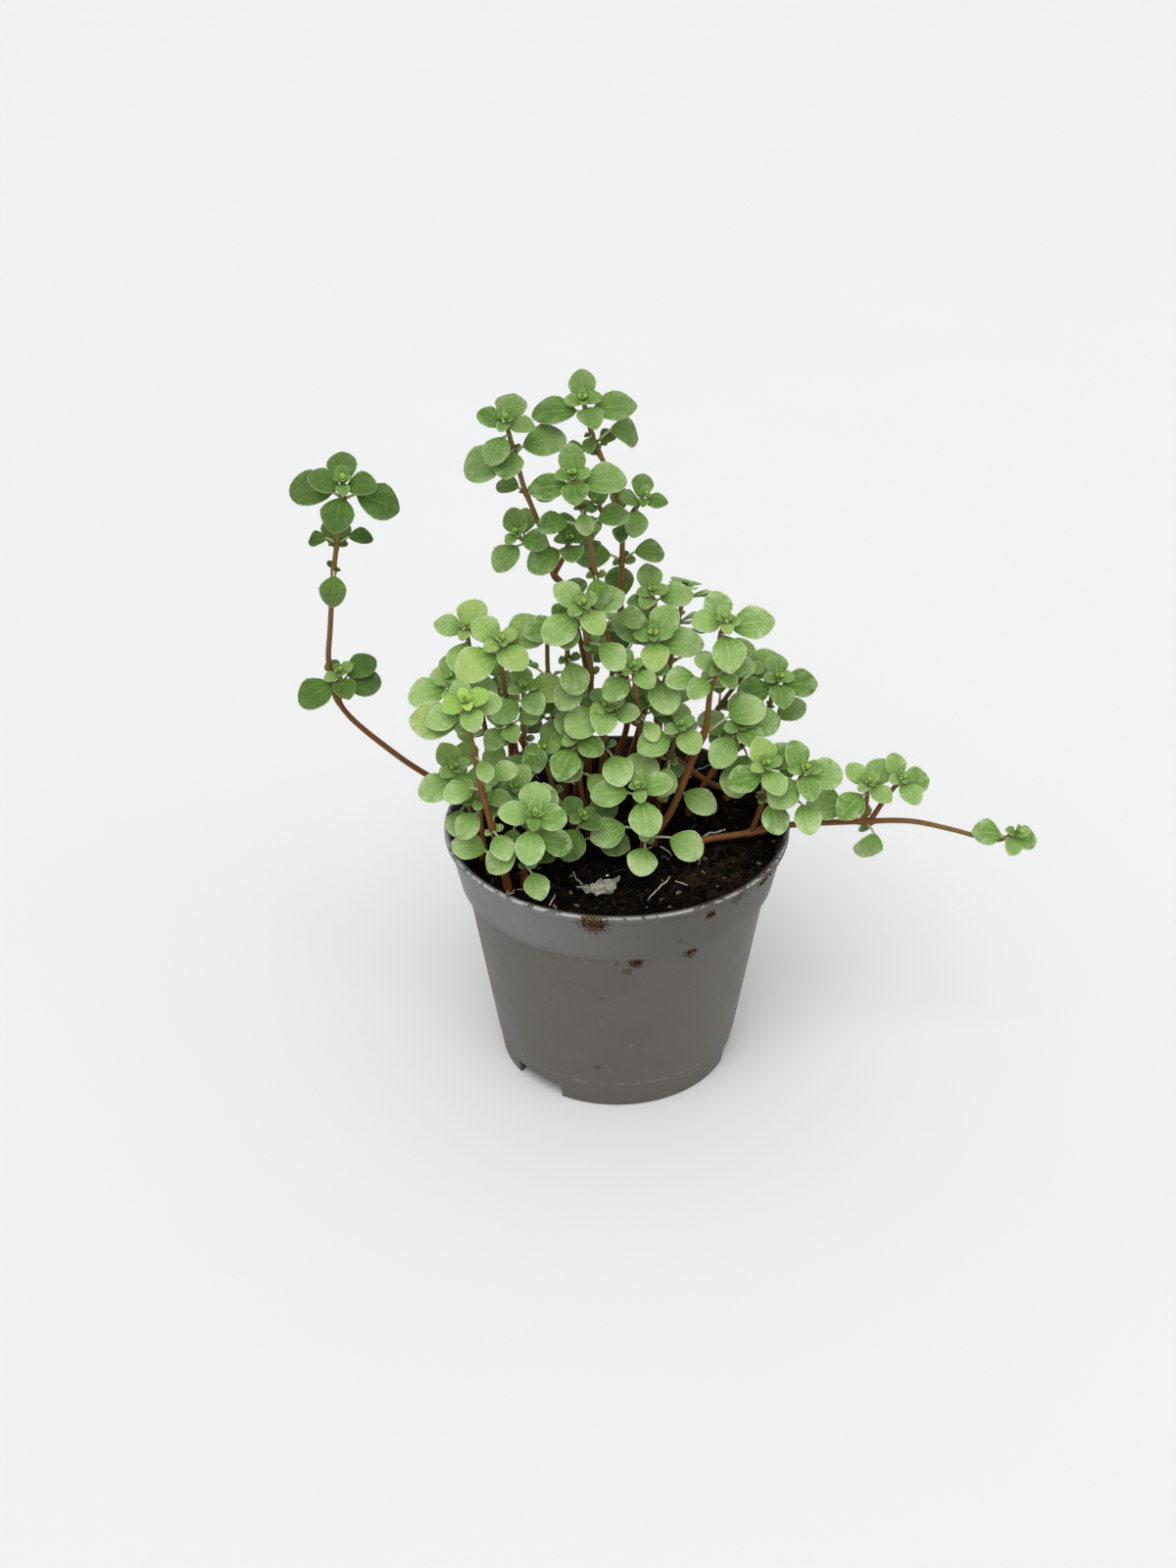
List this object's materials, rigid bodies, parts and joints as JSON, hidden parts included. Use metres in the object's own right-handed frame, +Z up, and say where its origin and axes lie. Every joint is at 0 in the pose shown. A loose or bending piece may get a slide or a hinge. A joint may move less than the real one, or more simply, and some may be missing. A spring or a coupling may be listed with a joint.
{
  "type": "potted pilea plant",
  "caption": "Small-leaved silver-green trailing plant with red-brown stems and round paired leaves, growing in dark compost in a round grey nursery pot.",
  "frame": {"origin": "bottom centre of the whole plant's box, on the surface that the pot stands on", "axes": "+Z up out of the pot; -Y is the front that the plant leans to; the long runner reaches out along +X and the trailing stem along -X"},
  "size_m": [0.147, 0.0734, 0.1452],
  "materials": {
    "pot": "satin grey moulded plastic",
    "soil": "damp dark peat compost with crumbs and fibres",
    "foliage": "satin silver-green leaves on red-brown stems",
    "dry_leaf": "dull dry leaf"
  },
  "bodies": {
    "root": {"pot": "pot", "soil": "soil", "dry_leaf": "dry_leaf", "stem_trailing_left": "foliage", "stem_tall_right": "foliage", "stem_tall_centre": "foliage", "stem_tall_left": "foliage", "stem_thick_right": "foliage", "stem_front_left": "foliage", "stem_front_left_short": "foliage", "stem_left_big_rosette": "foliage", "stem_left_upright": "foliage", "stem_left_low": "foliage", "stem_left_edge": "foliage", "stem_left_edge_low": "foliage", "stem_left_inner": "foliage", "stem_middle_back": "foliage", "stem_middle_left": "foliage", "stem_middle_front": "foliage", "stem_middle_low": "foliage", "stem_left_front_low": "foliage", "stem_centre_pale": "foliage", "stem_centre_low": "foliage", "stem_right_centre": "foliage", "stem_centre_high": "foliage", "stem_centre_back_high": "foliage", "stem_centre_small": "foliage", "stem_centre_bright": "foliage", "stem_centre_left_high": "foliage", "stem_right_high": "foliage", "stem_right_middle": "foliage", "stem_right_back": "foliage", "stem_runner_right": "foliage", "stem_back_left": "foliage", "stem_back_left_inner": "foliage", "stem_back_centre": "foliage", "stem_back_right": "foliage", "stem_back_centre_high": "foliage"}
  },
  "joints": []
}
